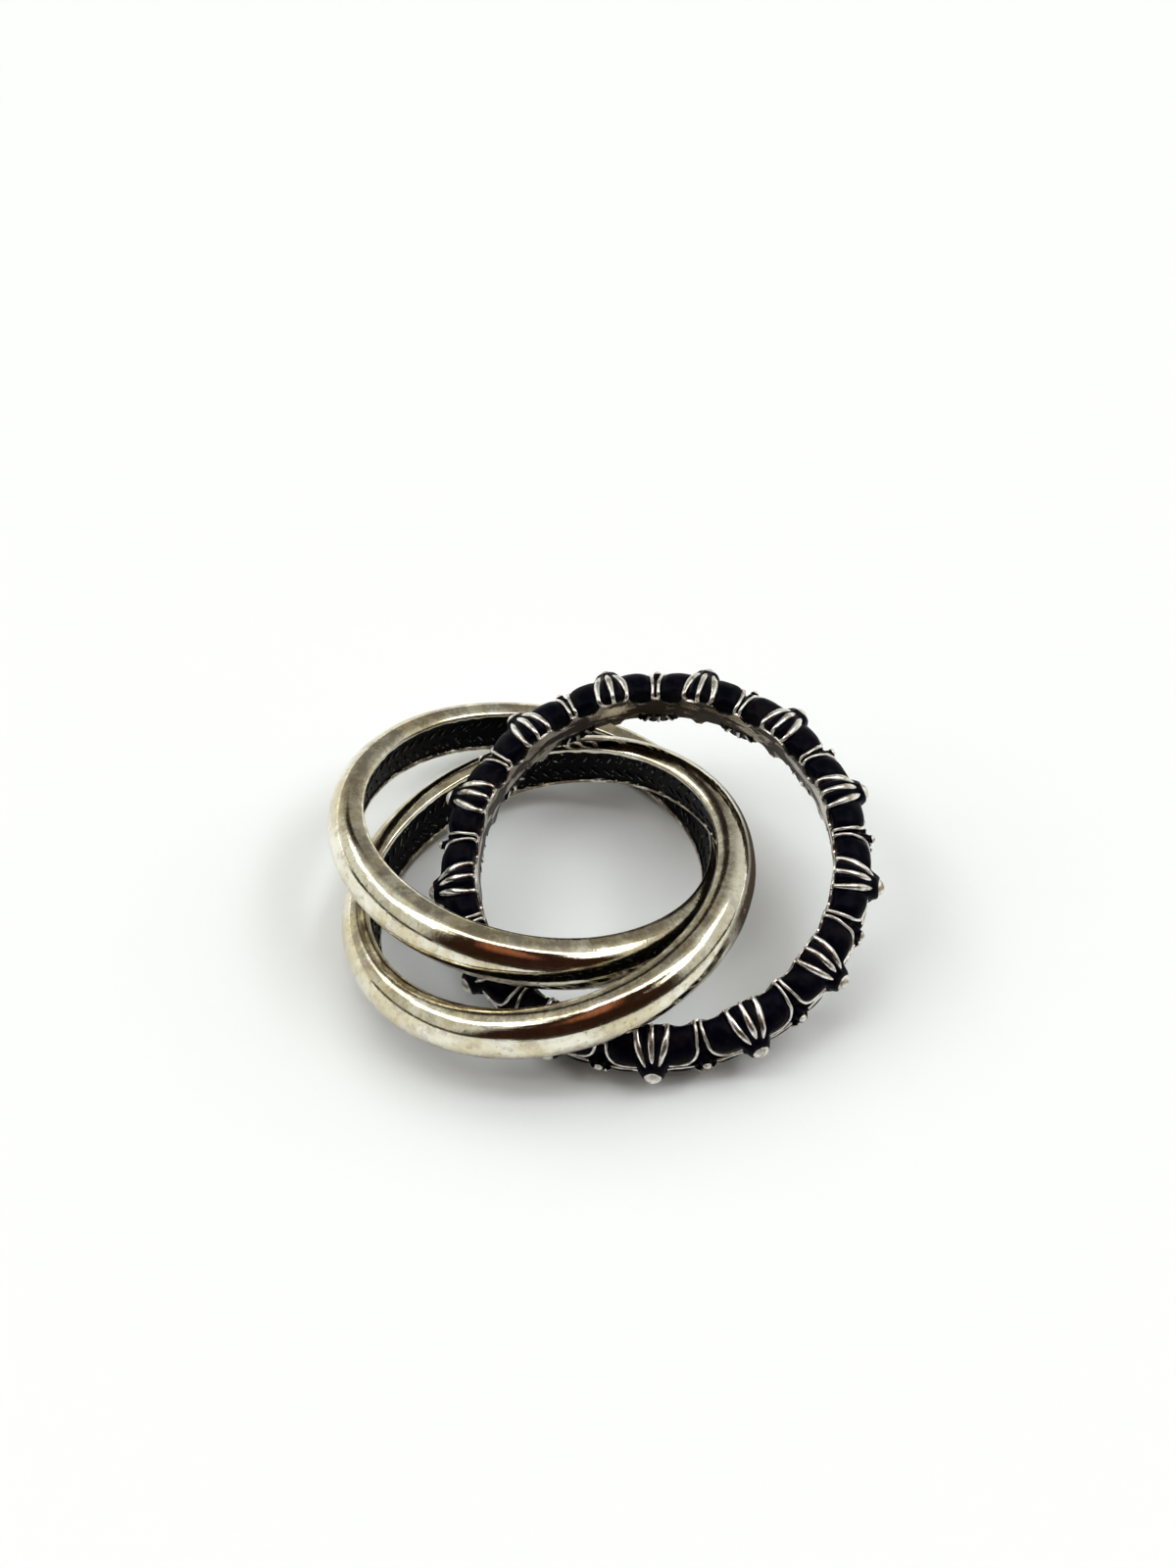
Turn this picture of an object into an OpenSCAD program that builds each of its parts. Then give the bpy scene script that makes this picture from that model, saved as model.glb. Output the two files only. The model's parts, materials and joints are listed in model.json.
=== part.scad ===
// Three linked finger rings: two plain half-round bands and one cast ornament band.
// They lie on a flat surface at z = 0, each leaning on the next, as they rest when put down.

/* [Finger size] */
// Inner diameter of every band
bore_d = 19; // [18.6:0.1:19]

/* [Plain bands] */
// Width of a plain band across its half-round face
plain_w = 3; // [2.6:0.1:3]
// Straight height of a plain band's side, between the bore and the half-round
plain_side = 0.35; // [0.2:0.05:0.35]
// Bevel between the bore and the side
bore_bevel = 0.12; // [0.05:0.01:0.15]
// Width of the blackened channel in the bore
channel_w = 2.1; // [1.2:0.1:2.2]
// Depth of the blackened channel in the bore
channel_depth = 0.1; // [0.05:0.01:0.2]

/* [Ornament band] */
// Number of upright fans around the band, with as many hanging ones between them
fan_count = 13; // [9:1:14]
// Turn of the first upright fan about the band's own axis
fan_turn = 18.8; // [0:0.1:27]
// Width of the band over the tips of its fans
fan_w = 3.7; // [3.3:0.1:3.7]
// Width of the dark cushioned panels between the fans
panel_w = 2.6; // [2.2:0.1:2.8]
// Depth of the inner wall that the ornament stands on
wall_t = 0.5; // [0.5:0.05:0.6]
// Angle that one reed fills, measured at its bead, each way from its middle
reed_half_angle = 6; // [4:0.5:8]
// Angle that an outer reed of a fan leans from the middle one
reed_spread = 28; // [18:1:30]
// Thickness of one thin divider rib
rib_t = 0.24; // [0.18:0.02:0.3]
// Gap between the two ribs of a divider
rib_gap = 0.42; // [0.3:0.02:0.6]
// Diameter of a large bead at the foot of an upright fan
bead_d = 0.9; // [0.6:0.05:1]
// Diameter of a small bead at the foot of a hanging fan
small_bead_d = 0.54; // [0.5:0.02:0.6]

/* [Resting places] */
// Middle of the upper left plain band, to the right of the middle of the whole
upper_x = -3.71; // [-3.73:0.01:-3.69]
// Middle of the upper left plain band, away from the viewer
upper_y = 1.8; // [1.78:0.01:1.82]
// Lean of the upper left plain band
upper_lean = 13.8; // [13.6:0.1:14]
// Compass angle of its low side
upper_low = 46.7; // [46:0.1:47]
// Middle of the lower left plain band, to the right
lower_x = -3.04; // [-3.06:0.01:-3.02]
// Middle of the lower left plain band, away from the viewer
lower_y = -1.69; // [-1.71:0.01:-1.67]
// Lean of the lower left plain band
lower_lean = 13; // [12.8:0.1:13.2]
// Compass angle of its low side
lower_low = 157.9; // [157:0.1:158]
// Middle of the ornament band, to the right
ornament_x = 2.78; // [2.76:0.01:2.8]
// Middle of the ornament band, away from the viewer
ornament_y = -0.88; // [-0.9:0.01:-0.86]
// Lean of the ornament band
ornament_lean = 16.3; // [16.1:0.1:16.5]
// Compass angle of its low side
ornament_low = -106.8; // [-107:0.1:-106]

/* [Hidden] */
$fn = 96;
bore_r = bore_d / 2;
wall_r = bore_r + wall_t;
// How far out from the bore the fans and dividers start, and how much further the ground between the reeds
foot_inset = 0.2;
foot_bevel = 0.2;
ground_step = 0.06;
foot_r = bore_r + foot_inset;
fan_r = fan_w / 2;
fan_crown_r = wall_r + fan_r;
fan_pitch = 360 / fan_count;
// The dark ground between the reeds, the divider ribs and the panels, each lower than the reeds
ground_drop = 0.2;
rib_drop = 0.25;
panel_drop = 0.4;
panel_crown_r = fan_crown_r - panel_drop;
rib_angle = asin((rib_gap + rib_t) / 2 / fan_crown_r);
// The thin rib that runs round the band between the two rows of fans
middle_rib_r = 0.17;
// How far a half-round's centre circle and its radius lift a leaning band off the surface
function rest_height(centre_r, lean, round_r) = centre_r * sin(lean) + round_r;

// Half-round section in the X-Y plane: flat bore side, straight sides, round crown
module half_round(inner_r, centre_r, w, bevel) {
    r = w / 2;
    intersection() {
        translate([centre_r, 0]) circle(r = r);
        translate([centre_r, -r]) square([r, w]);
    }
    polygon([
        [inner_r, bevel - r], [inner_r + bevel, -r], [centre_r, -r],
        [centre_r, r], [inner_r + bevel, r], [inner_r, r - bevel]
    ]);
}

// Puts a band that was drawn round the Z axis into its resting place
module rest(x, y, lean, low, centre_r, round_r) {
    translate([x, y, rest_height(centre_r, lean, round_r)])
        rotate([0, 0, low])
            rotate([0, lean, 0])
                rotate([0, 0, -low])
                    children();
}

module plain_band() {
    rotate_extrude()
        difference() {
            half_round(bore_r, bore_r + plain_side, plain_w, bore_bevel);
            translate([bore_r - channel_depth, -channel_w / 2])
                square([2 * channel_depth, channel_w]);
        }
}

// Half of a dome's outline on a bevelled foot: X along the band's width, Y away from its axis
module dome_outline(dome_r, foot) {
    polygon([
        [0, foot], [dome_r - foot_bevel, foot], [dome_r, foot + foot_bevel],
        [dome_r, wall_r], [0, wall_r]
    ]);
    intersection() {
        translate([0, wall_r]) circle(r = dome_r);
        translate([0, wall_r]) square(dome_r);
    }
}

// A wedge of a dome, turned about the radial axis by lean
module wedge(dome_r, foot, half_angle, lean) {
    rotate([lean, 0, 0])
        rotate([0, 90, 0])
            rotate([0, 0, 180 - half_angle])
                rotate_extrude(angle = 2 * half_angle) dome_outline(dome_r, foot);
}

// Three reeds that spread from a bead, on a lower ground
module fan(foot_bead_r) {
    for (lean = [-reed_spread, 0, reed_spread]) wedge(fan_r, foot_r, reed_half_angle, lean);
    wedge(fan_r - ground_drop, foot_r + ground_step, reed_spread + reed_half_angle / 2, 0);
    translate([fan_crown_r, 0, 0]) sphere(r = foot_bead_r);
}

// One thin upright rib over half the section
module rib() {
    rotate([-90, -90, 0])
        linear_extrude(height = rib_t, center = true) dome_outline(fan_r - rib_drop, foot_r);
}

module divider() {
    for (side = [-1, 1]) rotate([0, 0, side * rib_angle]) rib();
}

module ornament_ring() {
    rotate_extrude() {
        half_round(bore_r, panel_crown_r - panel_w / 2, panel_w, bore_bevel);
        translate([panel_crown_r, 0]) circle(r = middle_rib_r);
    }
    for (i = [0 : fan_count - 1]) {
        rotate([0, 0, fan_turn + i * fan_pitch]) {
            fan(bead_d / 2);
            mirror([0, 0, 1]) divider();
        }
        rotate([0, 0, fan_turn + (i + 0.5) * fan_pitch]) {
            divider();
            mirror([0, 0, 1]) fan(small_bead_d / 2);
        }
    }
}

module upper_plain_band() {
    color("silver")
        rest(upper_x, upper_y, upper_lean, upper_low, bore_r + plain_side, plain_w / 2) plain_band();
}

module lower_plain_band() {
    color("silver")
        rest(lower_x, lower_y, lower_lean, lower_low, bore_r + plain_side, plain_w / 2) plain_band();
}

module ornament_band() {
    color("dimgray")
        rest(ornament_x, ornament_y, ornament_lean, ornament_low, wall_r, fan_r) ornament_ring();
}

upper_plain_band();
lower_plain_band();
ornament_band();
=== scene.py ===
import bpy
import math
from mathutils import Matrix, Vector, noise
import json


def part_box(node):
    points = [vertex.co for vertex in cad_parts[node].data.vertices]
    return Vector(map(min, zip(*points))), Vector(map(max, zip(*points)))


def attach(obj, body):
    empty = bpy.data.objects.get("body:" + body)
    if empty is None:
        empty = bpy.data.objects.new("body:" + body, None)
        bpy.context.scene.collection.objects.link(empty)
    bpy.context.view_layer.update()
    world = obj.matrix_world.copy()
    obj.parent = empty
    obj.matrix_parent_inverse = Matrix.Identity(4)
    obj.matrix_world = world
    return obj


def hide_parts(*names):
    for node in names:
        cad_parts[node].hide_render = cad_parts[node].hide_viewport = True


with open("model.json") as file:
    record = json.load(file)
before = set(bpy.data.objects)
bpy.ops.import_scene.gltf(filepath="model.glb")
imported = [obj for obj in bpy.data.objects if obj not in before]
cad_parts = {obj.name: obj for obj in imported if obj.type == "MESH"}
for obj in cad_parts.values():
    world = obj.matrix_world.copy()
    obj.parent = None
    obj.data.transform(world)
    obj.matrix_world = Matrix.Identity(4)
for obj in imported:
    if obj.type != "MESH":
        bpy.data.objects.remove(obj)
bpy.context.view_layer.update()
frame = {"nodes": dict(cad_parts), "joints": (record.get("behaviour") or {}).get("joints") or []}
millimetre = 0.001  # bands are modelled in millimetres round the Z axis, and seated in metres
fullTurn = 2 * math.pi
quarterTurn = math.pi / 2
print("frame loaded:", ", ".join(sorted(frame["nodes"])))


# Camera at the photo's angle

cameraSetup = {
    "aim": (-0.00082, 0.00925, 0),  # the point on the floor at the middle of the picture
    "elevation": 47.88,
    "distance": 0.1395,
    "lens": 55.3,
    "sensorWidth": 36,
    "clipStart": 0.002,
    "clipEnd": 10,
}


def makeCamera(setup):
    rise = math.radians(setup["elevation"])
    back = Vector((0, -math.cos(rise), math.sin(rise)))
    bpy.ops.object.camera_add(location=Vector(setup["aim"]) + setup["distance"] * back)
    camera = bpy.context.object
    camera.rotation_euler = (quarterTurn - rise, 0, 0)
    camera.data.lens = setup["lens"]
    camera.data.sensor_width = setup["sensorWidth"]
    camera.data.clip_start = setup["clipStart"]
    camera.data.clip_end = setup["clipEnd"]
    bpy.context.scene.camera = camera


makeCamera(cameraSetup)
print("camera placed")


# Selecting and shaping, as by hand

upsideDown = Matrix.Scale(-1, 4, (0, 0, 1))
noise.seed_set(1)  # every run gives the same unevenness


def activate(*items):
    if bpy.context.object and bpy.context.object.mode != "OBJECT":
        bpy.ops.object.mode_set(mode="OBJECT")
    bpy.ops.object.select_all(action="DESELECT")
    for item in items:
        item.select_set(True)
    bpy.context.view_layer.objects.active = items[0]


def startEdit(item):
    activate(item)
    bpy.ops.object.mode_set(mode="EDIT")
    bpy.ops.mesh.select_mode(type="VERT")


def stopEdit():
    bpy.ops.object.mode_set(mode="OBJECT")


def pickPoints(item, test):  # selects in edit mode the points whose place passes the test
    stopEdit()
    mesh = item.data
    mesh.polygons.foreach_set("select", [False] * len(mesh.polygons))
    mesh.edges.foreach_set("select", [False] * len(mesh.edges))
    mesh.vertices.foreach_set("select", [bool(test(point.co)) for point in mesh.vertices])
    bpy.ops.object.mode_set(mode="EDIT")


def pickAll():
    bpy.ops.mesh.select_all(action="SELECT")


def applyPlace():
    bpy.ops.object.transform_apply(location=True, rotation=True, scale=True)


def near(value, target, gap=0.02):
    return abs(value - target) < gap


def outerHalf(centre, steps, radius, stretch=(1, 1, 1)):  # an outer half circle, its two ends picked
    bpy.ops.mesh.primitive_circle_add(
        vertices=2 * steps, radius=radius, location=(centre, 0, 0), rotation=(quarterTurn, 0, 0))
    item = bpy.context.object
    item.scale = stretch
    applyPlace()
    startEdit(item)
    pickPoints(item, lambda co: co.x < centre - 0.01)
    bpy.ops.mesh.delete(type="VERT")
    pickPoints(item, lambda co: near(co.x, centre))
    return item


def extrudeBy(offset, stretch=1):  # pulls the picked points out, then draws them towards z = 0
    bpy.ops.mesh.extrude_region_move(TRANSFORM_OT_translate={"value": offset})
    bpy.ops.transform.resize(value=(1, 1, stretch), center_override=(0, 0, 0))


def latheRound(item, steps):  # turns a section into a whole band
    activate(item)
    bpy.ops.object.modifier_add(type="SCREW")
    lathe = item.modifiers[-1]
    lathe.steps = lathe.render_steps = steps
    lathe.use_merge_vertices = True
    lathe.merge_threshold = 0.001
    bpy.ops.object.modifier_apply(modifier=lathe.name)
    startEdit(item)
    weld()


def copyRound(count):  # copies what is picked, evenly round the band
    turn = fullTurn * (1 - 1 / count)
    bpy.ops.mesh.spin(steps=count - 1, angle=turn, center=(0, 0, 0), axis=(0, 0, 1), dupli=True)


def faceOut():
    pickAll()
    bpy.ops.mesh.normals_make_consistent(inside=False)


def weld(gap=0.003):
    pickAll()
    bpy.ops.mesh.remove_doubles(threshold=gap)
    faceOut()


def sculpt(item, rule):  # moves each point to where the rule puts it
    stopEdit()
    points = item.data.vertices
    normals = [point.normal.copy() for point in points]
    points.foreach_set("co", [
        value for point, normal in zip(points, normals) for value in rule(point.co, normal)])
    item.data.update()


def unevenness(co, waves, shift=(0, 0, 0)):  # a smooth random rise or fall
    length, height = waves
    return noise.noise(co / length + Vector(shift)) * height


def fromAxis(co):  # the way from the band's axis to a place
    return Vector((co.x, co.y, 0)).normalized()


def easeIn(low, high, value):
    share = min(1, max(0, (value - low) / (high - low)))
    return share * share * (3 - 2 * share)


def addWear(item, limits, outward):  # 1 on crests that face the outward way, and 0 on flanks
    wear = item.data.attributes.new("wear", "FLOAT", "POINT")
    for point, value in zip(item.data.vertices, wear.data):
        value.value = easeIn(*limits, point.normal.dot(outward(point.co)))


def copyOf(item, matrix):
    activate(item)
    bpy.ops.object.duplicate(linked=False)
    twin = bpy.context.object
    twin.data.transform(matrix)
    return twin


def joined(items, name):
    activate(*items)
    bpy.ops.object.join()
    item = bpy.context.object
    item.name = item.data.name = name
    return item


def smooth(item, angle):
    activate(item)
    bpy.ops.object.shade_smooth_by_angle(angle=math.radians(angle))


# Places of the bands, from the frame: each leans towards its low side

def seatOf(centre, lean, lowSide):
    low = math.radians(lowSide)
    turn = Matrix.Rotation(low, 4, "Z") @ Matrix.Rotation(math.radians(lean), 4, "Y")
    return Matrix.Translation(centre) @ turn @ Matrix.Rotation(-low, 4, "Z")


def middleOf(node):
    low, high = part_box(node)
    return (low + high) / 2


ornamentJoint = next(joint for joint in frame["joints"] if joint["child"] == "ornament")
seats = {
    "upper_plain_band": seatOf(middleOf("upper_plain_band"), lean=13.8, lowSide=46.7),
    "lower_plain_band": seatOf(middleOf("lower_plain_band"), lean=13.0, lowSide=157.9),
    "ornament_band": seatOf(Vector(ornamentJoint["pos_m"]), lean=16.3, lowSide=-106.8),
}


def place(item, node, body, replaces=False):  # millimetres at the origin to metres in the frame
    activate(item)
    item.matrix_world = seats[node] @ Matrix.Scale(millimetre, 4)
    applyPlace()
    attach(item, body)
    if replaces:
        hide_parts(node)


# Shader maths as expressions

class Thread:  # a socket that takes part in maths
    def __init__(self, bench, socket):
        self.bench = bench
        self.socket = socket

    def maths(self, operation, *values):
        return self.bench.node("ShaderNodeMath", {"operation": operation}, dict(enumerate(values)))

    def __add__(self, other):
        return self.maths("ADD", self, other)

    def __sub__(self, other):
        return self.maths("SUBTRACT", self, other)

    def __rsub__(self, other):
        return self.maths("SUBTRACT", other, self)

    def __mul__(self, other):
        return self.maths("MULTIPLY", self, other)

    def __pow__(self, other):
        return self.maths("POWER", self, other)

    def __rpow__(self, other):
        return self.maths("POWER", other, self)

    __radd__ = __add__
    __rmul__ = __mul__

    def above(self, low, high):  # 0 below low, 1 above high, eased between them
        return self.bench.node(
            "ShaderNodeMapRange", {"interpolation_type": "SMOOTHSTEP"},
            {"Value": self, "From Min": low, "From Max": high})

    def within(self, low, high, edge):  # 1 between low and high, with soft edges
        return self.above(low - edge, low + edge) * (1 - self.above(high - edge, high + edge))


class Bench:  # a node tree that is being wired
    def __init__(self, tree):
        self.tree = tree
        tree.nodes.clear()

    def node(self, kind, settings, values, out=0):
        made = self.tree.nodes.new(kind)
        for name, value in settings.items():
            setattr(made, name, value)
        for name, value in values.items():
            if isinstance(value, Thread):
                self.tree.links.new(value.socket, made.inputs[name])
            else:
                made.inputs[name].default_value = value
        return Thread(self, made.outputs[out])

    def output(self, kind, shader):
        made = self.tree.nodes.new(kind)
        self.tree.links.new(shader.socket, made.inputs["Surface"])

    def mixColour(self, share, first, second):  # sockets 6 and 7 of a Mix node hold its colours
        return self.node("ShaderNodeMix", {"data_type": "RGBA"}, {0: share, 6: first, 7: second}, 2)

    def combine(self, x, y, z):
        return self.node("ShaderNodeCombineXYZ", {}, {0: x, 1: y, 2: z})

    def split(self, vector):
        made = self.node("ShaderNodeSeparateXYZ", {}, {0: vector}).socket.node
        return [Thread(self, made.outputs[axis]) for axis in range(3)]

    def noise(self, vector, scale, detail, roughness, **more):
        dimensions = "4D" if "W" in more else "3D"
        values = {"Vector": vector, "Scale": scale, "Detail": detail, "Roughness": roughness, **more}
        return self.node("ShaderNodeTexNoise", {"noise_dimensions": dimensions}, values)

    def bump(self, height, depth):  # depth in millimetres
        return self.node("ShaderNodeBump", {}, {"Distance": depth * millimetre, "Height": height})

    def bandPlace(self, node):  # millimetres in the band's own frame, its axis along Z
        seat = seats[node]
        spot = self.node("ShaderNodeTexCoord", {}, {}, "Object")
        return self.node("ShaderNodeMapping", {"vector_type": "TEXTURE"}, {
            "Vector": spot, "Location": seat.to_translation(), "Rotation": seat.to_euler(),
            "Scale": (millimetre,) * 3})


def colour(red, green, blue):
    return (red, green, blue, 1)


def newMaterial(name, wire):  # wire(bench) gives the values of the shader's sockets
    material = bpy.data.materials.new(name)
    material.use_nodes = True
    bench = Bench(material.node_tree)
    bench.output("ShaderNodeOutputMaterial", bench.node("ShaderNodeBsdfPrincipled", {}, wire(bench)))
    return material


# Finishes: a noise is given by its scale, detail and roughness, a limit by where it starts and is full

plainSilver = {
    "polished": colour(0.89, 0.86, 0.74),
    "yellowed": colour(0.66, 0.58, 0.38),
    "greyed": colour(0.42, 0.36, 0.33),
    "brownShade": colour(0.20, 0.15, 0.10),
    "darkened": colour(0.07, 0.05, 0.035),
    "scratches": (1, 4, 0.65),
    "scratchAlong": 0.12,  # scratches run round the band, so they change slowly along it
    "scratchAcross": 3.5,
    "scratchLimit": (0.5, 0.72),
    "clouds": (0.35, 4, 0.6),
    "smudges": (0.9, 5, 0.68),
    "blotches": (1.7, 4, 0.7),
    "pits": (4.5, 4, 0.62),
    # the next limits place painted shade: brown under the band and along its edges
    "underside": (-0.1, 0.9),  # millimetres under the band's middle
    "lowHalf": (0.0, 1.0),
    "edges": (1.3, 2.1),  # square of the height from the middle
    "rimDrop": (-0.95, -0.55),  # painted shade along a rim: under the crown, outside and to the right
    "rimTilt": 0.035,
    "rimReach": (10.2, 10.7),
    "rimRight": (6.0, 8.8),
    "bump": 0.008,
    "specular": 0.05,
}


def silverFinish(node, look, shift):
    def wire(bench):
        x, y, z = bench.split(bench.bandPlace(node))
        reach = (x * x + y * y) ** 0.5
        drop = 0 - z
        along, across = look["scratchAlong"], look["scratchAcross"]
        streaks = bench.combine(x * along + shift, y * along, reach * across)
        scratches = bench.noise(streaks, *look["scratches"], W=z * across).above(*look["scratchLimit"])

        def patches(name, away):  # each band and each kind of patch lies elsewhere in its noise
            return bench.noise(bench.combine(x + away, y, z), *look[name])

        clouds = patches("clouds", shift)
        smudges = patches("smudges", 7 * shift)
        blotches = patches("blotches", -3 * shift)
        pits = patches("pits", -shift)
        # painted shade: browner under the band and along its edges, broken up by smudges
        under = drop.above(*look["underside"])
        sides = (z * z).above(*look["edges"]) * 0.5 + drop.above(*look["lowHalf"]) * 0.9
        brownShade = sides * smudges.above(0.38, 0.56)
        yellowed = clouds.above(0.42, 0.60) * 0.75 + blotches.above(0.50, 0.62) * 0.35
        greyed = smudges.above(0.50, 0.66) * 0.45
        # real pits, with more of them underneath as painted shade
        pitsAndUnderShade = pits.above(0.60, 0.67) * (0.3 + under * 0.45) + pits.above(0.45, 0.60) * under * 0.2
        # painted shade: a dark band low on the outer rim, to the right, made less metallic so that it
        # mirrors little
        lowOutside = (y * look["rimTilt"] - z).above(*look["rimDrop"]) * reach.above(*look["rimReach"])
        paintedShadeRim = lowOutside * (x + y * 0.5).above(*look["rimRight"]) * smudges.above(0.15, 0.45)
        # stains, pits and the painted shade of the rim and underside, mixed into one darkened colour
        darkening = blotches.above(0.62, 0.72) * 0.5 + pitsAndUnderShade + paintedShadeRim * 1.1
        shade = bench.mixColour(yellowed, look["polished"], look["yellowed"])
        shade = bench.mixColour(greyed, shade, look["greyed"])
        shade = bench.mixColour(brownShade, shade, look["brownShade"])
        shade = bench.mixColour(darkening, shade, look["darkened"])
        gloss = 0.06 + yellowed * 0.04 + greyed * 0.07 + darkening * 0.25 + scratches * 0.09 + paintedShadeRim * 0.5
        relief = scratches * 0.4 + pits * (0.5 + under * 0.6) + blotches * 0.8 - darkening * 0.4
        return {"Base Color": shade, "Metallic": 1 - paintedShadeRim, "Roughness": gloss,
                "Normal": bench.bump(relief, look["bump"]), "Specular IOR Level": look["specular"]}
    return newMaterial(node + "_silver", wire)


channelBlack = {
    "black": colour(0.002, 0.002, 0.003),
    "glint": colour(0.42, 0.39, 0.33),
    "grain": (3.5, 4, 0.65),
    "glints": (6, 2, 0.5),
    "glintLimit": (0.68, 0.74),
    "bump": 0.03,
    "specular": 0.04,
}


def blackenedFinish(node, look):  # the oxidised floor of a bore's channel
    def wire(bench):
        spot = bench.bandPlace(node)
        grain = bench.noise(spot, *look["grain"])
        glints = bench.noise(spot, *look["glints"]).above(*look["glintLimit"])
        shade = bench.mixColour(glints * 0.8, look["black"], look["glint"])
        return {"Base Color": shade, "Metallic": glints, "Roughness": 0.42 - glints * 0.15,
                "Normal": bench.bump(grain, look["bump"]), "Specular IOR Level": look["specular"]}
    return newMaterial(node + "_blackened", wire)


panelBlack = {
    "black": colour(0.001, 0.001, 0.004),
    "wisp": colour(0.006, 0.005, 0.006),
    "wisps": (0.9, 4, 0.6),
    "grain": (7, 3, 0.6),
    "bump": 0.012,
    "specular": 0.025,
}


def panelFinish(node, look):  # near-black cushions of the ornament band
    def wire(bench):
        spot = bench.bandPlace(node)
        wisps = bench.noise(spot, *look["wisps"])
        grain = bench.noise(spot, *look["grain"])
        shade = bench.mixColour(wisps.above(0.45, 0.7), look["black"], look["wisp"])
        return {"Base Color": shade, "Metallic": 0, "Roughness": 0.28 + wisps.above(0.4, 0.7) * 0.25,
                "Normal": bench.bump(grain, look["bump"]), "Specular IOR Level": look["specular"]}
    return newMaterial("blackened_panels", wire)


reliefSilver = {
    "crest": colour(0.90, 0.88, 0.84),
    "smudged": colour(0.42, 0.35, 0.28),
    "flank": colour(0.002, 0.002, 0.003),
    "smudges": (2.2, 4, 0.65),
    "grain": (8, 3, 0.6),
    "brightLimit": (0.25, 0.55),
    "bump": 0.010,
    "specular": 0.06,
}


def reliefFinish(node, name, look, worn=0, matt=0.46):  # bright crests with blackened flanks
    def wire(bench):
        spot = bench.bandPlace(node)
        wear = bench.node("ShaderNodeAttribute", {"attribute_name": "wear"}, {}, "Fac")
        smudges = bench.noise(spot, *look["smudges"])
        grain = bench.noise(spot, *look["grain"])
        bright = (wear + (smudges - 0.5) * 1.2 + worn).above(*look["brightLimit"])
        silver = bench.mixColour(smudges.above(0.44, 0.66), look["crest"], look["smudged"])
        shade = bench.mixColour(bright, look["flank"], silver)
        return {"Base Color": shade, "Metallic": bright, "Roughness": matt - bright * 0.18,
                "Normal": bench.bump(grain, look["bump"]), "Specular IOR Level": look["specular"]}
    return newMaterial(name, wire)


wallSilver = {
    "silver": colour(0.50, 0.45, 0.37),
    "clouded": colour(0.22, 0.16, 0.12),
    "darkened": colour(0.03, 0.02, 0.015),
    "edge": colour(0.84, 0.81, 0.73),
    "scratches": (1, 4, 0.6),
    "scratchAlong": 0.3,
    "scratchAcross": 5,
    "clouds": (0.45, 5, 0.65),
    "darkening": (0.9, 4, 0.6),
    "stainAlong": 0.55,
    "stainAcross": 1.3,
    "stainLimit": (0.44, 0.49),
    "stainMiddle": -0.3,  # stains thin out above and below this height
    "stainHeights": (0.05, 0.9),
    "farSide": (5.5, 9.3),  # the far side is a little darker: its dark patches spread wider
    "edgeFrom": (9.51, 9.55),
    "bump": 0.014,
}


def wallFinish(node, look):  # worn inner wall of the ornament band, its upper edge bright
    def wire(bench):
        spot = bench.bandPlace(node)
        x, y, z = bench.split(spot)
        reach = (x * x + y * y) ** 0.5
        along, across = look["scratchAlong"], look["scratchAcross"]
        streaks = bench.combine(x * along, y * along, reach * across)
        scratches = bench.noise(streaks, *look["scratches"], W=z * across)
        clouds = bench.noise(spot, *look["clouds"])
        along, across = look["stainAlong"], look["stainAcross"]
        darkening = bench.noise(bench.combine(x * along, y * along, z * across), *look["darkening"])
        height = z - look["stainMiddle"]
        thin = (height * height).above(*look["stainHeights"]) * 0.10
        farSide = y.above(*look["farSide"]) * 0.05
        dark = (darkening + farSide - thin).above(*look["stainLimit"])
        edge = reach.above(*look["edgeFrom"])
        shade = bench.mixColour(clouds.above(0.4, 0.62), look["silver"], look["clouded"])
        shade = bench.mixColour(dark * 0.93, shade, look["darkened"])
        shade = bench.mixColour(edge * 0.8, shade, look["edge"])
        return {"Base Color": shade, "Metallic": 1, "Roughness": 0.22 + dark * (1 - edge) * 0.25,
                "Normal": bench.bump(scratches + clouds * 2, look["bump"])}
    return newMaterial("inner_wall_silver", wire)


print("finishes ready")


# Plain half-round bands, with a leaf hatch in the channel of each bore

plainBand = {
    "boreRadius": 9.5,
    "outerRadius": 11.35,
    "crown": 10.15,  # radius at which the section is widest
    "halfWidth": 1.44,
    "boreHalfWidth": 1.24,  # where the rounded shoulder meets the bore
    "shoulderSteps": 12,
    "channelWidth": 2.1,
    "channelDepth": 0.1,
    "channelCuts": 8,
    "roundSteps": 40,
    "spinSteps": 480,
    "cornerRounding": 0.04,
    "cornerSegments": 3,
    "dents": (2.6, 0.024),  # length and height of the waves of hand-worn unevenness
    "dentInset": 0.014,
    "ripples": (0.8, 0.003),
    "wander": (0.5, 0.09),  # the channel's edges aren't quite straight
    "wanderReach": 0.08,
    "smoothAngle": 40,
}

boreLeaf = {
    "length": 0.66,
    "width": 0.20,
    "height": 0.15,
    "segments": 8,
    "rings": 6,
    "slant": 40,
    "row": 0.46,  # middle of a row, from the band's middle
    "perTurn": 84,
    "weldGap": 0.0005,
    "lift": (0.9, 0.05),  # each leaf lies a little differently
    "drift": (0.5, 0.03),
    "wear": (0.55, 0.98),
    "worn": -0.65,  # less than the ornament's relief
    "smoothAngle": 60,
}


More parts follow.
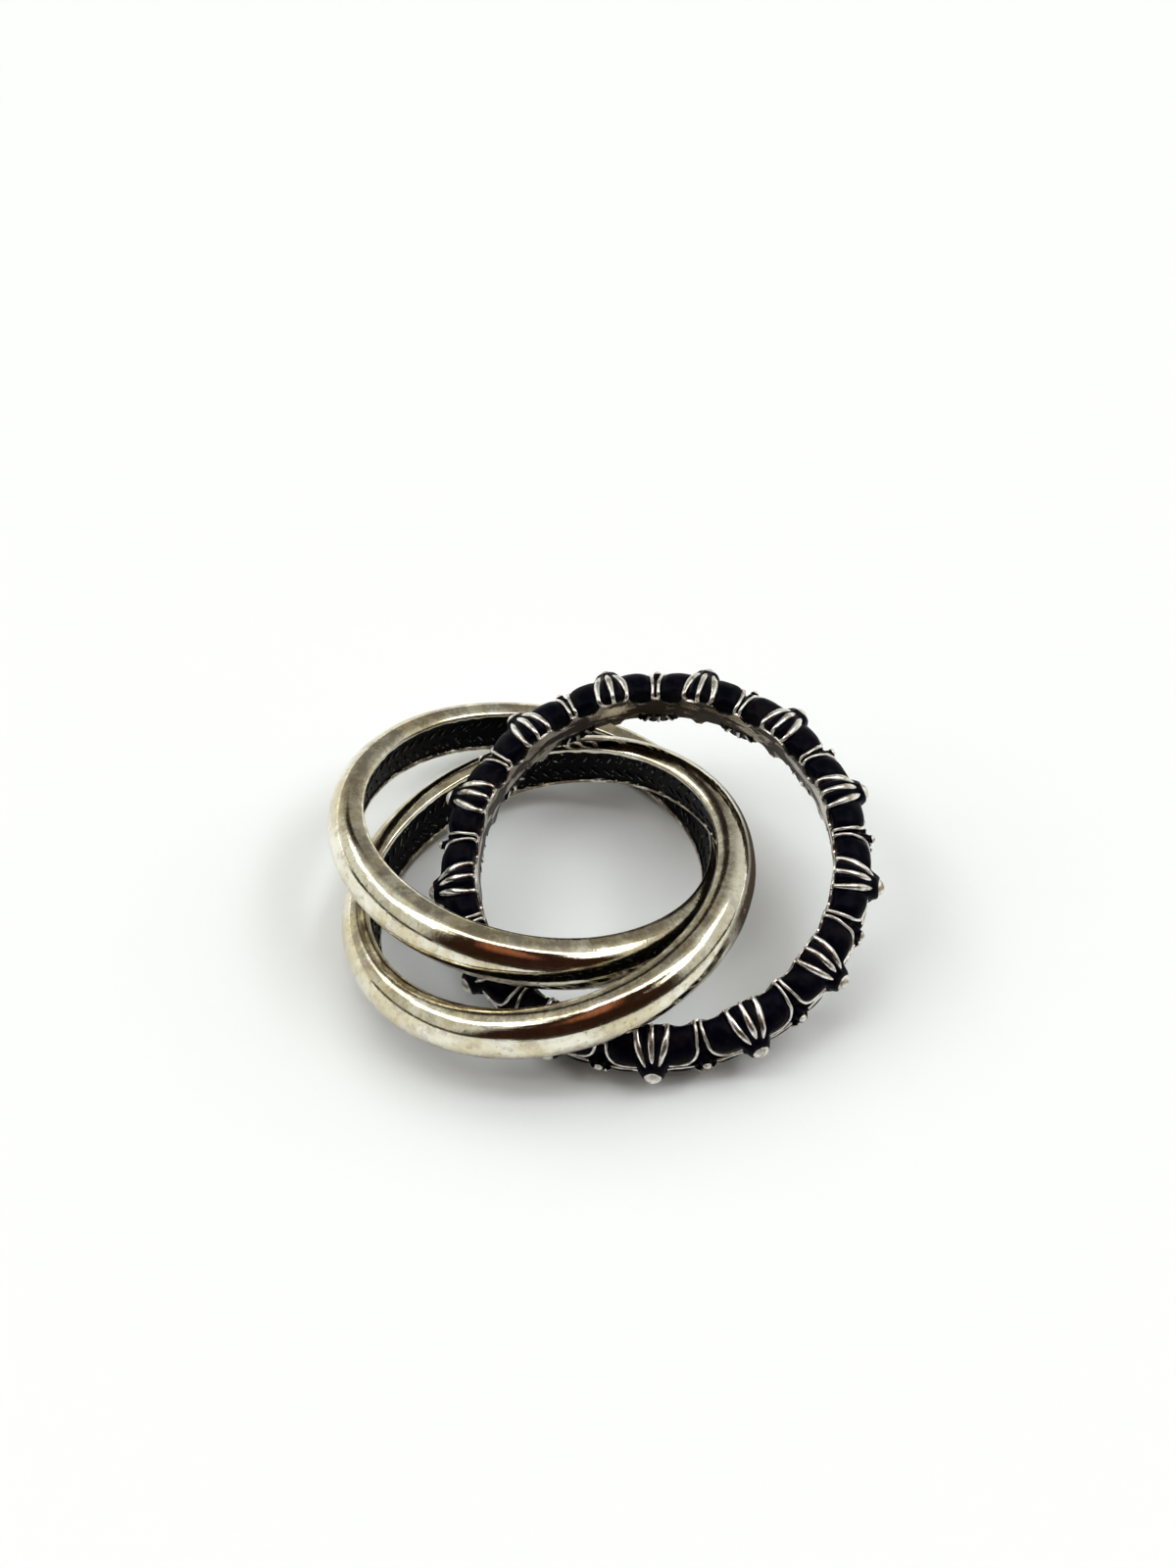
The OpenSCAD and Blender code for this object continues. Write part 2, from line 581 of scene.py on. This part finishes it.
def plainBandMesh(look, name, shift):
    crown, half = look["crown"], look["halfWidth"]
    bore, boreHalf = look["boreRadius"], look["boreHalfWidth"]
    item = outerHalf(crown, look["roundSteps"], 1, (look["outerRadius"] - crown, half, 1))
    item.name = item.data.name = name
    reach, height = crown, half
    for step in range(1, look["shoulderSteps"] + 1):
        turn = quarterTurn * step / look["shoulderSteps"]
        nextReach = crown - (crown - bore) * math.sin(turn)
        nextHeight = boreHalf + (half - boreHalf) * math.cos(turn)
        extrudeBy((nextReach - reach, 0, 0), nextHeight / height)
        reach, height = nextReach, nextHeight
    halfChannel = look["channelWidth"] / 2
    extrudeBy((0, 0, 0), halfChannel / height)
    extrudeBy((look["channelDepth"], 0, 0))
    bpy.ops.mesh.edge_face_add()
    bpy.ops.mesh.subdivide(number_cuts=look["channelCuts"])
    latheRound(item, look["spinSteps"])

    def onCorner(co, radius, gap=0.004):
        return near(math.hypot(co.x, co.y), radius, gap) and near(abs(co.z), halfChannel, gap)

    for radius in (bore, bore + look["channelDepth"]):
        pickPoints(item, lambda co: onCorner(co, radius))
        bpy.ops.mesh.select_mode(type="EDGE")
        bpy.ops.mesh.bevel(offset=look["cornerRounding"], segments=look["cornerSegments"], affect="EDGES")
        bpy.ops.mesh.select_mode(type="VERT")

    def dented(co, normal):
        worn = unevenness(co, look["dents"], (shift, 0, 0))
        ripple = unevenness(co, look["ripples"], (-shift, 0, 0))
        moved = co + normal * (worn + ripple - look["dentInset"])
        if near(abs(co.z), halfChannel, look["wanderReach"]) and math.hypot(co.x, co.y) < crown:
            moved.z += unevenness(co, look["wander"], (0, shift, 0))
        return moved

    sculpt(item, dented)
    return item


def leafHatch(look, band, name, shift):
    bpy.ops.mesh.primitive_uv_sphere_add(segments=look["segments"], ring_count=look["rings"], radius=0.5)
    leaf = bpy.context.object
    leaf.scale = (look["height"], look["width"], look["length"])
    leaf.rotation_euler = (math.radians(look["slant"]), 0, 0)
    leaf.location = (band["boreRadius"] + band["channelDepth"], 0, look["row"])
    applyPlace()
    lowerRow = Matrix.Rotation(math.pi / look["perTurn"], 4, "Z") @ upsideDown
    hatch = joined([leaf, copyOf(leaf, lowerRow)], name)
    startEdit(hatch)
    pickAll()
    copyRound(look["perTurn"])
    weld(look["weldGap"])

    def handCut(co, normal):
        lift = unevenness(co, look["lift"], (shift, 3, 0))
        length, depth = look["drift"]
        return co + noise.noise_vector(co / length) * depth + fromAxis(co) * lift

    sculpt(hatch, handCut)
    addWear(hatch, look["wear"], lambda co: -fromAxis(co))
    smooth(hatch, look["smoothAngle"])
    return hatch


def buildPlainBand(node, body, shift):
    band = plainBandMesh(plainBand, node + "_shell", shift)
    band.data.materials.append(silverFinish(node, plainSilver, shift))
    band.data.materials.append(blackenedFinish(node, channelBlack))
    floorFrom = plainBand["boreRadius"] + plainBand["channelDepth"] / 5  # what lies deeper is blackened
    for face in band.data.polygons:
        reach = math.hypot(face.center.x, face.center.y)
        overChannel = abs(face.center.z) < plainBand["channelWidth"] / 2 + 0.01
        face.material_index = 1 if overChannel and floorFrom < reach < plainBand["crown"] else 0
    smooth(band, plainBand["smoothAngle"])
    place(band, node, body, replaces=True)
    hatch = leafHatch(boreLeaf, plainBand, node + "_bore_leaves", shift)
    leafSilver = reliefFinish(node, node + "_leaf_silver", reliefSilver, worn=boreLeaf["worn"])
    hatch.data.materials.append(leafSilver)
    place(hatch, node, body)
    print(node, "built,", len(band.data.polygons), "faces")


buildPlainBand("upper_plain_band", "upper_band", shift=3.7)
buildPlainBand("lower_plain_band", "lower_band", shift=11.3)


# Cast ornament band: one core, with reeds, rims and beads standing on it

ornament = {
    "boreRadius": 9.5,
    "domeCentre": 10.0,  # radius of the circle that the relief domes out from
    "fanRadius": 1.83,
    "fanCount": 13,
    "firstFan": 18.8,
    "reedSpread": 28,
    "rimRadius": 1.54,
    "panelTop": 1.22,  # ground of the panels, from the dome's centre, at the lip and at the crown
    "panelCrown": 1.36,
    "cushion": 0.37,
    "cushionEdge": 0.08,
    "cushionReach": 0.62,
    "cushionToFan": 0.1,  # room that is left beside a cushion
    "cushionToRim": 0.04,
    "gapDepth": 0.24,  # how deep the gap between the two rims of a divider lies
    "ridge": (0.04, 0.15),  # the ground rises to a rim within this distance of it
    "fanGround": 1.60,
    "fanCushion": 0.22,
    "fanCushionEdge": 0.07,
    "fanCushionReach": 0.26,
    "collars": [(True, 2.0, 0.46, 0.95), (False, 1.60, 0.16, 0.50)],  # upper or not, radius, flat, foot
    "spinSteps": 1040,
    "domeSteps": 64,
    "lipSteps": 8,
    "boreCuts": 10,
    "wireRoundness": 3,
    "ledge": 9.625,  # the bare silver wall ends here in a narrow ledge, and the relief rises behind it
    "wallHigh": 1.2,  # the wall's edge stands high at dividers and upper fans, and dips between them
    "panelDip": 0.56,
    "panelDipPower": 0.7,
    "lowerFanDip": 0.70,
    "fanShare": (0.42, 0.50),  # shares of the way from a fan's middle to a divider's middle
    "panelShare": (0.38, 0.92),
    "fanFoot": 1.50,
    "wallWaves": (0.7, 0.05),
    "groundWaves": (0.5, 0.02),
    "driftLength": 1.1,  # lengths of the faults of casting
    "grainLength": 0.35,
    "reedFaults": (0.022, 1.3),  # their depth, and where in the noise they lie
    "rimFaults": (0.024, 4.1),
    "beadFaults": (0.02, 8.2),
    "wear": (-0.15, 0.55),
    "beadMatt": 0.70,
    "coreSmoothAngle": 50,
    "reliefSmoothAngle": 60,
}

reedShape = {
    "start": 21,
    "footRadius": 0.07,
    "swell": 0.135,  # how much thicker the reed is in its middle
    "topRadius": 0.145,
    "domeSteps": 14,
    "bendStart": 0.24,
    "bend": 0.2,
    "bendSteps": 4,
    "innerRadius": 0.11,
    "innerAt": 9.65,
    "innerEnd": 0.95,
    "innerFlare": 1.25,
}

rimShape = {
    "wire": 0.09,
    "topOffset": 0.15,  # half the gap between the two rims of a divider, at the lip
    "flare": 0.44,
    "flarePower": 1.5,
    "cornerClimb": 50,
    "cornerReach": 1.1,
    "low": 6.5,
    "beadGap": 0.60,  # from the rim's end to the bead's middle
    "bend": 0.2,
    "bendSteps": 4,
    "domeSteps": 10,
    "cornerSteps": 12,
    "crownSteps": 5,
    "innerAt": 9.65,
    "innerEnd": 0.86,
}

beadShape = {
    "large": 0.43,
    "small": 0.20,
    "smallSunk": 0.18,
    "widen": 1.12,
    "crown": 11.84,
    "segments": 24,
    "rings": 14,
}

fanPitch = fullTurn / ornament["fanCount"]
spread = math.radians(ornament["reedSpread"])


def fromFan(angle, upper):  # angle to the nearest fan of the upper or the lower row
    start = math.radians(ornament["firstFan"]) + (0 if upper else fanPitch / 2)
    return (angle - start + fanPitch / 2) % fanPitch - fanPitch / 2


def rimOffset(climb):  # from a divider's middle to its rim, at a climb in radians above the crown
    down = max(0, quarterTurn - climb) / quarterTurn
    return rimShape["topOffset"] + rimShape["flare"] * down ** rimShape["flarePower"]


rimCorner = math.radians(rimShape["cornerClimb"])
rimLow = math.radians(rimShape["low"])
rimTurn = rimOffset(rimCorner) + rimShape["cornerReach"]  # where the round corner of a rim ends


def insideRim(offset, rise):  # how far a place lies inside the rim's line, over the panel
    if rise > rimCorner:
        return offset - rimOffset(rise)
    if offset > rimTurn:
        return (rise - rimLow) * ornament["rimRadius"]
    across = (rimTurn - offset) / rimShape["cornerReach"]
    down = (rimCorner - rise) / (rimCorner - rimLow)
    return (1 - math.hypot(across, down)) * rimShape["cornerReach"]


def pillow(distance, reach):  # 0 at an edge and 1 past the reach, rounded
    share = min(1, max(0, distance / reach))
    return math.sqrt(1 - (1 - share) ** 2)


def groundRadius(angle, climb):  # the black ground, seen from the dome's centre circle
    rise = abs(climb)
    panel = ornament["panelTop"] + (ornament["panelCrown"] - ornament["panelTop"]) * math.cos(rise)
    reach = ornament["domeCentre"] + panel * math.cos(rise)
    across = reach * abs(fromFan(angle, climb >= 0))
    fanEdge = panel * math.sin(rise) * math.tan(spread)
    inside = insideRim(reach * fanPitch / 2 - across, rise)
    if across < fanEdge:
        toReed = min(across, (fanEdge - across) * math.cos(spread))
        ground = math.sqrt(ornament["fanGround"] ** 2 - across ** 2)
        swell = pillow(toReed - ornament["fanCushionEdge"], ornament["fanCushionReach"])
        radius = ground + ornament["fanCushion"] * swell
    elif inside > 0:
        toFan = (across - fanEdge) * math.cos(spread) - ornament["cushionToFan"]
        swell = pillow(min(toFan, inside - ornament["cushionToRim"]), ornament["cushionReach"])
        radius = panel - ornament["cushionEdge"] + ornament["cushion"] * swell
    else:
        radius = panel - ornament["gapDepth"]
    ridge = easeIn(*ornament["ridge"], abs(inside))
    radius = max(radius, (ornament["rimRadius"] - rimShape["wire"]) * (1 - ridge) + radius * ridge)
    for upper, boss, flat, foot in ornament["collars"]:
        away = math.hypot(reach * fromFan(angle, upper), panel * math.sin(climb))
        if away < foot:
            share = easeIn(flat, foot, away)
            radius = max(radius, boss * (1 - share) + radius * share)
    return radius


def lipHeight(angle, reach, upper):  # height of the inner wall's ledge and of the shoulder behind it
    away = abs(fromFan(angle, upper)) / (fanPitch / 2)
    underFan = 1 - easeIn(*ornament["fanShare"], away)
    panelStart, panelEnd = ornament["panelShare"]
    acrossPanel = min(1, max(0, (away - panelStart) / (panelEnd - panelStart)))
    dip = math.sin(math.pi * acrossPanel) ** ornament["panelDipPower"]
    wall = ornament["wallHigh"] - ornament["panelDip"] * dip
    if not upper:
        wall -= ornament["lowerFanDip"] * underFan
    if reach < ornament["ledge"] + 0.01:
        return wall
    foot = wall + (ornament["fanFoot"] - wall) * underFan
    ground = groundRadius(angle, quarterTurn if upper else -quarterTurn)
    share = (reach - ornament["ledge"]) / (ornament["domeCentre"] - ornament["ledge"])
    return foot + (ground - foot) * pillow(share * (1 + underFan), 1)


def coreMesh(look):
    centre = look["domeCentre"]
    item = outerHalf(centre, look["domeSteps"], look["panelTop"])
    item.name = item.data.name = "ornament_core"
    for step in range(look["lipSteps"]):
        extrudeBy(((look["boreRadius"] - centre) / look["lipSteps"], 0, 0))
    bpy.ops.mesh.edge_face_add()
    bpy.ops.mesh.subdivide(number_cuts=look["boreCuts"])
    latheRound(item, look["spinSteps"])

    def shaped(co, normal):
        angle = math.atan2(co.y, co.x)
        reach = math.hypot(co.x, co.y)
        if reach < centre - 0.01:
            height = lipHeight(angle, reach, co.z >= 0) * (1 + unevenness(co, look["wallWaves"]))
            return Vector((co.x, co.y, co.z * height / look["panelTop"]))
        climb = math.atan2(co.z, reach - centre)
        radius = groundRadius(angle, climb) + unevenness(co, look["groundWaves"])
        out = centre + radius * math.cos(climb)
        return Vector((out * math.cos(angle), out * math.sin(angle), radius * math.sin(climb)))

    sculpt(item, shaped)
    return item


def tubeMesh(spots):  # a round wire along spots, each a place and a thickness
    bpy.ops.curve.primitive_nurbs_path_add()
    tube = bpy.context.object
    tube.data.splines.clear()
    spline = tube.data.splines.new("POLY")
    spline.points.add(len(spots) - 1)
    for point, (where, thickness) in zip(spline.points, spots):
        point.co = (*where, 1)
        point.radius = thickness
    tube.data.bevel_depth = 1
    tube.data.bevel_resolution = ornament["wireRoundness"]
    tube.data.use_fill_caps = True
    bpy.ops.object.convert(target="MESH")
    return bpy.context.object


def reedMesh(look, lean):  # up from the bead over the dome, inwards over the lip and down the inner wall
    start, centre = math.radians(look["start"]), ornament["domeCentre"]
    crest, foot, top = ornament["fanRadius"], look["footRadius"], look["topRadius"]
    innerAt, inner, bend = look["innerAt"], look["innerRadius"], look["bend"]
    spots = []
    for step in range(look["domeSteps"] + 1):
        share = step / look["domeSteps"]
        climb = start + (quarterTurn - start) * share
        thick = foot + (top - foot) * share + look["swell"] * math.sin(math.pi * share)
        radius = crest - thick
        spots.append((Vector((centre + radius * math.cos(climb), 0, radius * math.sin(climb))), thick))
    spots.append((Vector((innerAt + look["bendStart"], 0, crest - top)), top))
    for step in range(1, look["bendSteps"] + 1):
        turn = quarterTurn * step / look["bendSteps"]
        reach = innerAt + bend * (1 - math.sin(turn))
        height = crest - top - bend + bend * math.cos(turn)
        spots.append((Vector((reach, 0, height)), top + (inner - top) * step / look["bendSteps"]))
    spots.append((Vector((innerAt, 0, look["innerEnd"])), inner * look["innerFlare"]))
    reed = tubeMesh(spots)
    middle = Matrix.Translation((centre, 0, 0))
    reed.data.transform(middle @ Matrix.Rotation(-lean, 4, "X") @ middle.inverted())

    def roundBand(co, normal):  # a leaning reed keeps its distance from the band's axis
        return Vector((math.sqrt(co.x ** 2 - co.y ** 2), co.y, co.z))

    sculpt(reed, roundBand)
    return reed


def rimMesh(look, side):  # one rim of a divider: up the inner wall, round a corner and along the crown
    centre, radius = ornament["domeCentre"], ornament["rimRadius"] - look["wire"]
    innerAt, bend, lip = look["innerAt"], look["bend"], rimOffset(quarterTurn)
    line = [(lip, innerAt, look["innerEnd"])]  # offset, reach and height
    for step in range(look["bendSteps"] + 1):
        turn = quarterTurn * step / look["bendSteps"]
        line.append((lip, innerAt + bend * (1 - math.cos(turn)), radius - bend * (1 - math.sin(turn))))
    arc = []  # offset and climb
    for step in range(look["domeSteps"]):
        climb = quarterTurn + (rimCorner - quarterTurn) * step / look["domeSteps"]
        arc.append((rimOffset(climb), climb))
    for step in range(look["cornerSteps"]):
        turn = quarterTurn * step / look["cornerSteps"]
        offset = rimTurn - look["cornerReach"] * math.cos(turn)
        arc.append((offset, rimCorner - (rimCorner - rimLow) * math.sin(turn)))
    last = (centre + radius) * fanPitch / 2 - look["beadGap"]
    for step in range(look["crownSteps"] + 1):
        arc.append((rimTurn + (last - rimTurn) * step / look["crownSteps"], rimLow))
    line += [(offset, centre + radius * math.cos(climb), radius * math.sin(climb)) for offset, climb in arc]
    spots = []
    for offset, reach, height in line:
        angle = side * offset / reach
        spots.append((Vector((reach * math.cos(angle), reach * math.sin(angle), height)), look["wire"]))
    return tubeMesh(spots)


def beadMesh(look, radius, sunk=0):  # a little flattened towards the band
    bpy.ops.mesh.primitive_uv_sphere_add(
        segments=look["segments"], ring_count=look["rings"], radius=radius, rotation=(0, quarterTurn, 0))
    bead = bpy.context.object
    applyPlace()
    bead.scale = (1, look["widen"], look["widen"])
    bead.location = (look["crown"] - sunk, 0, 0)
    applyPlace()
    return bead


def bothRows(upper, lower, name):  # the upper unit at each upper fan, the lower one half a pitch on
    first = Matrix.Rotation(math.radians(ornament["firstFan"]), 4, "Z")
    upper.data.transform(first)
    lower.data.transform(first @ Matrix.Rotation(fanPitch / 2, 4, "Z"))
    item = joined([upper, lower], name)
    startEdit(item)
    faceOut()
    copyRound(ornament["fanCount"])
    faceOut()
    stopEdit()
    return item


def castUneven(item, look, depth, shift):  # each copy gets its own small faults of casting and wear
    def moved(co, normal):
        drift = noise.noise_vector(co / look["driftLength"] + Vector((shift, 0, 0))) * depth * 2
        return co + drift + normal * noise.noise(co / look["grainLength"]) * depth

    sculpt(item, moved)


def fromDome(co):  # the way out from the dome's centre circle
    return (co - fromAxis(co) * ornament["domeCentre"]).normalized()


def buildOrnament():
    node, body = "ornament_band", "ornament"
    core = coreMesh(ornament)
    for finish in (panelFinish(node, panelBlack), wallFinish(node, wallSilver)):
        core.data.materials.append(finish)
    for face in core.data.polygons:
        onWall = math.hypot(face.center.x, face.center.y) < ornament["ledge"] - 0.01
        face.material_index = 1 if onWall else 0
    smooth(core, ornament["coreSmoothAngle"])
    print("ornament core built,", len(core.data.polygons), "faces")

    silver = reliefFinish(node, "relief_silver", reliefSilver)
    beadSilver = reliefFinish(node, "bead_silver", reliefSilver, matt=ornament["beadMatt"])
    fan = joined([reedMesh(reedShape, lean) for lean in (-spread, 0, spread)], "fan")
    reeds = bothRows(fan, copyOf(fan, upsideDown), "ornament_reeds")
    divider = joined([rimMesh(rimShape, side) for side in (-1, 1)], "divider")
    rims = bothRows(divider, copyOf(divider, upsideDown), "ornament_rims")
    rims.data.transform(Matrix.Rotation(fanPitch / 2, 4, "Z"))
    smallBead = beadMesh(beadShape, beadShape["small"], beadShape["smallSunk"])
    beads = bothRows(beadMesh(beadShape, beadShape["large"]), smallBead, "ornament_beads")
    for item, finish, (depth, shift) in (
            (reeds, silver, ornament["reedFaults"]), (rims, silver, ornament["rimFaults"]),
            (beads, beadSilver, ornament["beadFaults"])):
        castUneven(item, ornament, depth, shift)
        item.data.materials.append(finish)
        addWear(item, ornament["wear"], fromDome)
        smooth(item, ornament["reliefSmoothAngle"])
        place(item, node, body)
        print(item.name, "built,", len(item.data.polygons), "faces")
    place(core, node, body, replaces=True)


buildOrnament()


# Pale floor and soft studio light

floorSetup = {
    "size": 1.2,
    "colour": colour(0.885, 0.92, 0.94),
    "roughness": 0.5,
    "grain": (900, 3, 0.6),
    "bump": 0.01,
}

# The bands mirror these fields. Their limits are compass angles, from straight back and growing to the
# right, or sines of the height. A third number says how soft a field's edges are.
skySetup = {
    "strength": 1.0,
    "backdrop": colour(0.95, 0.96, 0.955),  # seen past the floor, pale as the floor is
    "softbox": colour(4.4, 4.4, 4.3),
    "leftBox": (-125, -40, 0.69, 0.79),  # compass angles, then heights
    "rightBox": (58, 125, 0.71, 0.84),
    "boxEdge": 6,
    "boxEdgeHeight": 0.015,
    "slant": 0.0036,  # how much the left box sinks for each degree that it lies nearer the back
    "darkSpot": (-31, -9, 0.485, 0.64),  # a small dark shape, mirrored as a long stripe on the right slope
    "darkShade": colour(0.03, 0.022, 0.018),
    "overhead": (-0.13, 0.03, 0.01),  # a narrow bright strip from side to side over the bands
    "overheadFrom": (0.74, 0.84),
    "backLine": (-75, 75, 0.01, 0.10),  # a low bright line at the back, mirrored along the inner slopes
    "backGlow": colour(1.5, 1.48, 1.36),
    "backSpan": (-90, 90, 12),
    "backLeft": colour(0.70, 0.70, 0.62),
    "leftFade": (-50, -15),  # between these angles the left part of the back turns into its middle
    "backMiddle": colour(0.34, 0.33, 0.29),
    "rightFade": (10, 50),
    "backRight": colour(0.66, 0.65, 0.59),
    "sides": colour(0.64, 0.63, 0.55),
    "horizon": (0.0, 0.13, 0.01),  # a thin dark line where the floor ends, mirrored along the outer slopes
    "horizonGap": (-60, 60, 10),  # there is none at the back
    "horizonShade": colour(0.04, 0.035, 0.025),
    "front": colour(0.34, 0.125, 0.065),  # a dark reddish card that the near sides mirror
    "frontLow": colour(0.03, 0.012, 0.007),
    "frontGap": (-130, 116, 8),
    "reddishGap": (-162, 162, 9),
    "reddishFrom": (0.66, 0.88),
}

lampSetup = {  # they light the floor and aren't mirrored in the bands
    "lamps": [(-100, 35, 0.54), (80, 35, 0.50), (0, 60, 0.46)],  # compass, height in degrees, power
    "size": 0.5,
    "distance": 0.6,
}


def makeFloor(look):
    bpy.ops.mesh.primitive_plane_add(size=look["size"])
    floor = bpy.context.object
    floor.name = "floor"

    def wire(bench):
        spot = bench.node("ShaderNodeTexCoord", {}, {}, "Object")
        grain = bench.noise(spot, *look["grain"])
        return {"Base Color": look["colour"], "Roughness": look["roughness"],
                "Normal": bench.bump(grain, look["bump"])}

    floor.data.materials.append(newMaterial("pale_floor", wire))


def makeSky(look):
    world = bpy.data.worlds.new("soft_studio")
    world.use_nodes = True
    bpy.context.scene.world = world
    bench = Bench(world.node_tree)
    x, y, z = bench.split(bench.node("ShaderNodeTexCoord", {}, {}, "Generated"))
    compass = x.maths("ARCTAN2", x, y) * (180 / math.pi)
    back = bench.mixColour(compass.above(*look["leftFade"]), look["backLeft"], look["backMiddle"])
    back = bench.mixColour(compass.above(*look["rightFade"]), back, look["backRight"])
    reddish = z.above(*look["reddishFrom"]) * (1 - compass.within(*look["reddishGap"]))
    front = bench.mixColour(reddish, look["frontLow"], look["front"])
    light = bench.mixColour(compass.within(*look["backSpan"]), look["sides"], back)
    light = bench.mixColour(compass.within(*look["frontGap"]), front, light)
    horizon = z.within(*look["horizon"]) * (1 - compass.within(*look["horizonGap"]))
    light = bench.mixColour(horizon, light, look["horizonShade"])
    sunk = z + (90 - compass.maths("ABSOLUTE", compass)) * look["slant"]
    boxes = [(look["backLine"], look["backGlow"], z), (look["leftBox"], look["softbox"], sunk),
             (look["rightBox"], look["softbox"], z), (look["darkSpot"], look["darkShade"], z)]
    for (west, east, low, high), glow, height in boxes:
        box = compass.within(west, east, look["boxEdge"]) * height.within(low, high, look["boxEdgeHeight"])
        light = bench.mixColour(box, light, glow)
    overhead = y.within(*look["overhead"]) * z.above(*look["overheadFrom"])
    light = bench.mixColour(overhead, light, look["softbox"])
    straight = bench.node("ShaderNodeLightPath", {}, {}, "Is Camera Ray")
    light = bench.mixColour(straight, light, look["backdrop"])
    sky = bench.node("ShaderNodeBackground", {}, {"Color": light, "Strength": look["strength"]})
    bench.output("ShaderNodeOutputWorld", sky)
    bpy.context.scene.view_settings.view_transform = "Standard"


def makeLamps(look):
    for turn, climb, power in look["lamps"]:
        turn, climb = math.radians(turn), math.radians(climb)
        away = Vector((math.sin(turn) * math.cos(climb), math.cos(turn) * math.cos(climb), math.sin(climb)))
        bpy.ops.object.light_add(type="AREA", location=away * look["distance"])
        lamp = bpy.context.object
        lamp.rotation_euler = away.to_track_quat("Z", "Y").to_euler()
        lamp.data.size = look["size"]
        lamp.data.energy = power
        lamp.visible_glossy = False


makeFloor(floorSetup)
makeSky(skySetup)
makeLamps(lampSetup)
print("studio ready")
